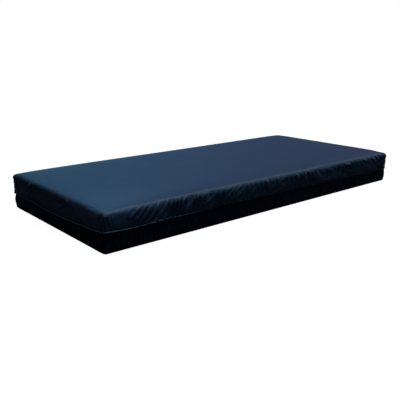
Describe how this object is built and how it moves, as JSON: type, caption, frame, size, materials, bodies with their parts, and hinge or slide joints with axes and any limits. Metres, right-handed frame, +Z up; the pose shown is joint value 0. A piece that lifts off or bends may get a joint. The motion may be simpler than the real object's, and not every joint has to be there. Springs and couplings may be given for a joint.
{
  "type": "pressure relief mattress",
  "caption": "Flat foam hospital mattress: castellated zoned insert in a foam tub, closed in a two-part zipped waterproof cover with a piped skirt.",
  "frame": {"origin": "centre of the underside, on the surface that the mattress rests on", "axes": "+Z up through the thickness, +X along the length towards the head end, +Y towards the long side that carries the zip slider"},
  "size_m": [2.0334, 0.9154, 0.178],
  "materials": {
    "cover_fabric": "satin",
    "base_fabric": "satin",
    "piping": "satin",
    "zip_tape": "matte",
    "zip_coil": "satin",
    "zip_metal": "satin",
    "stop_metal": "satin",
    "care_label": "matte",
    "base_foam": "matte",
    "rail_foam": "matte",
    "head_foam": "matte",
    "torso_foam": "matte",
    "heel_foam": "matte"
  },
  "bodies": {
    "base_cover": {"base_cover": "base_fabric", "lower_zip_tape": "zip_tape", "lower_zip_coil": "zip_coil", "lower_zip_stop": "stop_metal", "care_label": "care_label"},
    "foam_tub": {"base_foam": "base_foam", "left_side_rail": "rail_foam", "right_side_rail": "rail_foam", "head_end_rail": "rail_foam", "foot_end_rail": "rail_foam"},
    "comfort_insert": {"insert_backing": "rail_foam", "head_zone_foam": "head_foam", "torso_zone_foam": "torso_foam", "heel_zone_foam": "heel_foam"},
    "top_cover": {"top_cover": "cover_fabric", "skirt_piping": "piping", "upper_zip_tape": "zip_tape", "upper_zip_coil": "zip_coil", "upper_zip_stop": "stop_metal"},
    "zip_slider": {"zip_slider": "zip_metal"},
    "pull_tab": {"pull_tab": "zip_metal"}
  },
  "joints": [
    {"name": "tub_lift", "type": "slide", "parent": "base_cover", "child": "foam_tub", "axis": [0, 0, 1], "range_m": [0, 0.25]},
    {"name": "insert_lift", "type": "slide", "parent": "foam_tub", "child": "comfort_insert", "axis": [0, 0, 1], "range_m": [0, 0.2]},
    {"name": "cover_lift", "type": "slide", "parent": "comfort_insert", "child": "top_cover", "axis": [0, 0, 1], "range_m": [0, 0.25]},
    {"name": "slider_run", "type": "slide", "parent": "base_cover", "child": "zip_slider", "axis": [-1, 0, 0], "range_m": [0, 1.68], "deforming": ["upper_zip_coil", "lower_zip_coil"]},
    {"name": "tab_swing", "type": "hinge", "parent": "zip_slider", "child": "pull_tab", "pos_m": [0.812, 0.4527, 0.1015], "axis": [0, 1, 0], "range_deg": [-70, 70]}
  ]
}
